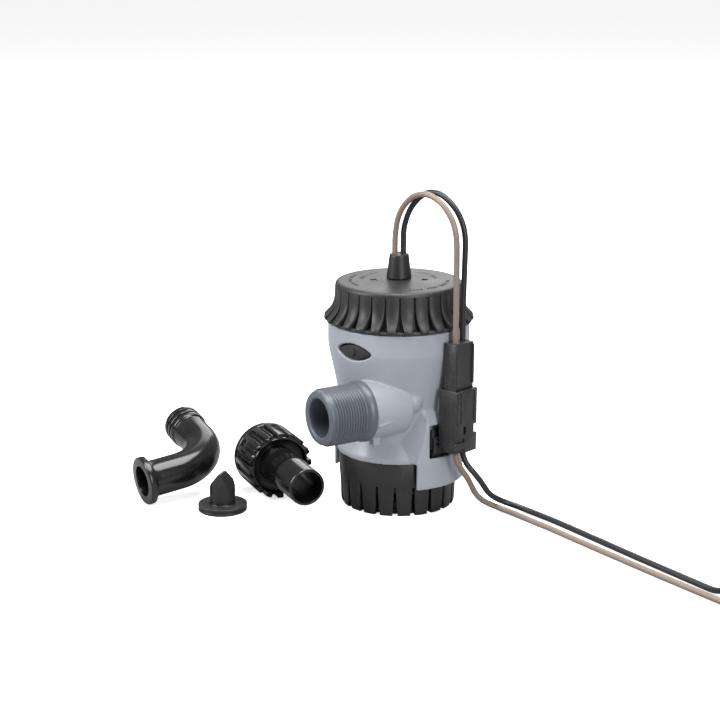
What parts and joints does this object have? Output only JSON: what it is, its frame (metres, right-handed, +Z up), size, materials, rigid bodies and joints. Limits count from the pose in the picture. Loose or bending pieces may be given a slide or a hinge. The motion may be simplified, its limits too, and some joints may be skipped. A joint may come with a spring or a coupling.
{
  "type": "cartridge bilge pump",
  "caption": "Submersible cartridge bilge pump on a clip-on strainer, with side outlet, plug-in wiring and loose outlet fittings.",
  "frame": {"origin": "on the pump axis at the underside of the strainer base", "axes": "+Z up along the pump axis, -Y along the outlet spigot, out of its mouth"},
  "size_m": [0.3463, 0.2075, 0.1643],
  "materials": {
    "housing_grey": "satin moulded, blue-grey",
    "nylon_black": "satin moulded, fine texture",
    "fitting_black": "glossy moulded",
    "rubber_black": "soft rubber",
    "wire_brown": "smooth wire insulation",
    "wire_black": "smooth wire insulation",
    "motor_steel": "drawn steel",
    "shaft_steel": "ground steel",
    "core_steel": "stacked laminations",
    "magnet_ferrite": "sintered ferrite",
    "copper": "enamelled copper",
    "bronze": "sintered bronze",
    "tinned_copper": "tinned strands",
    "carbon": "pressed carbon",
    "phenolic": "pressed phenolic sheet",
    "seal_grey": "soft seal"
  },
  "bodies": {
    "root": {"strainer_base": "nylon_black", "pump_housing": "housing_grey", "outlet_port": "housing_grey", "volute_plate": "nylon_black", "connector_socket": "nylon_black", "socket_terminals": "tinned_copper", "socket_seals": "seal_grey", "connector_plug": "nylon_black", "plug_terminals": "tinned_copper", "plug_seals": "seal_grey", "lead_brown": "wire_brown", "lead_black": "wire_black", "supply_wire_brown": "wire_brown", "supply_wire_black": "wire_black", "wire_coil_brown": "wire_brown", "wire_coil_black": "wire_black", "wire_ends": "tinned_copper"},
    "latch_right": {"strainer_latch_right": "nylon_black"},
    "latch_left": {"strainer_latch_left": "nylon_black"},
    "lock_tab": {"cartridge_lock_tab": "nylon_black"},
    "cartridge": {"cartridge_cap": "nylon_black", "cap_gasket": "rubber_black", "strain_relief": "rubber_black", "cartridge_can": "nylon_black", "cartridge_o_ring": "rubber_black", "motor_can": "motor_steel", "magnet_left": "magnet_ferrite", "magnet_right": "magnet_ferrite", "brush_plate": "phenolic", "brush_left": "carbon", "brush_right": "carbon", "brush_springs": "motor_steel", "upper_bearing": "bronze", "lower_bearing": "bronze", "shaft_seal": "rubber_black"},
    "rotor": {"motor_shaft": "shaft_steel", "armature_core": "core_steel", "armature_windings": "copper", "commutator": "copper", "impeller": "nylon_black", "impeller_clip": "shaft_steel"},
    "elbow": {"outlet_elbow": "fitting_black"},
    "tail": {"hose_tail": "fitting_black"},
    "nut": {"union_nut": "fitting_black"},
    "valve": {"check_valve": "rubber_black"}
  },
  "joints": [
    {"name": "latch_right_press", "type": "hinge", "parent": "root", "child": "latch_right", "pos_m": [0.03071, 0.00653, 0.0195], "axis": [0.2079, -0.9781, 0], "range_deg": [0, 2.3], "stiffness_Nm_per_rad": 0.6},
    {"name": "latch_left_press", "type": "hinge", "parent": "root", "child": "latch_left", "pos_m": [-0.03071, -0.00653, 0.0195], "axis": [-0.2079, 0.9781, 0], "range_deg": [0, 2.3], "stiffness_Nm_per_rad": 0.6},
    {"name": "lock_press", "type": "slide", "parent": "root", "child": "lock_tab", "axis": [-0.284, 0.9588, 0], "range_m": [0, 0.001], "stiffness_N_per_m": 800},
    {"name": "cartridge_twist", "type": "hinge", "parent": "root", "child": "cartridge", "pos_m": [0, 0, 0.08], "axis": [0, 0, 1], "range_deg": [0, 36]},
    {"name": "rotor_spin", "type": "hinge", "parent": "cartridge", "child": "rotor", "pos_m": [0, 0, 0.08], "axis": [0, 0, 1], "continuous": true},
    {"name": "elbow_lift", "type": "slide", "parent": "root", "child": "elbow", "axis": [0, 0, 1], "range_m": [0, 0.06]},
    {"name": "tail_lift", "type": "slide", "parent": "root", "child": "tail", "axis": [0, 0, 1], "range_m": [0, 0.02]},
    {"name": "nut_spin", "type": "hinge", "parent": "tail", "child": "nut", "pos_m": [-0.031, -0.0525, 0.0175], "axis": [0.9895, -0.1444, 0], "continuous": true},
    {"name": "valve_lift", "type": "slide", "parent": "root", "child": "valve", "axis": [0, 0, 1], "range_m": [0, 0.04]}
  ]
}
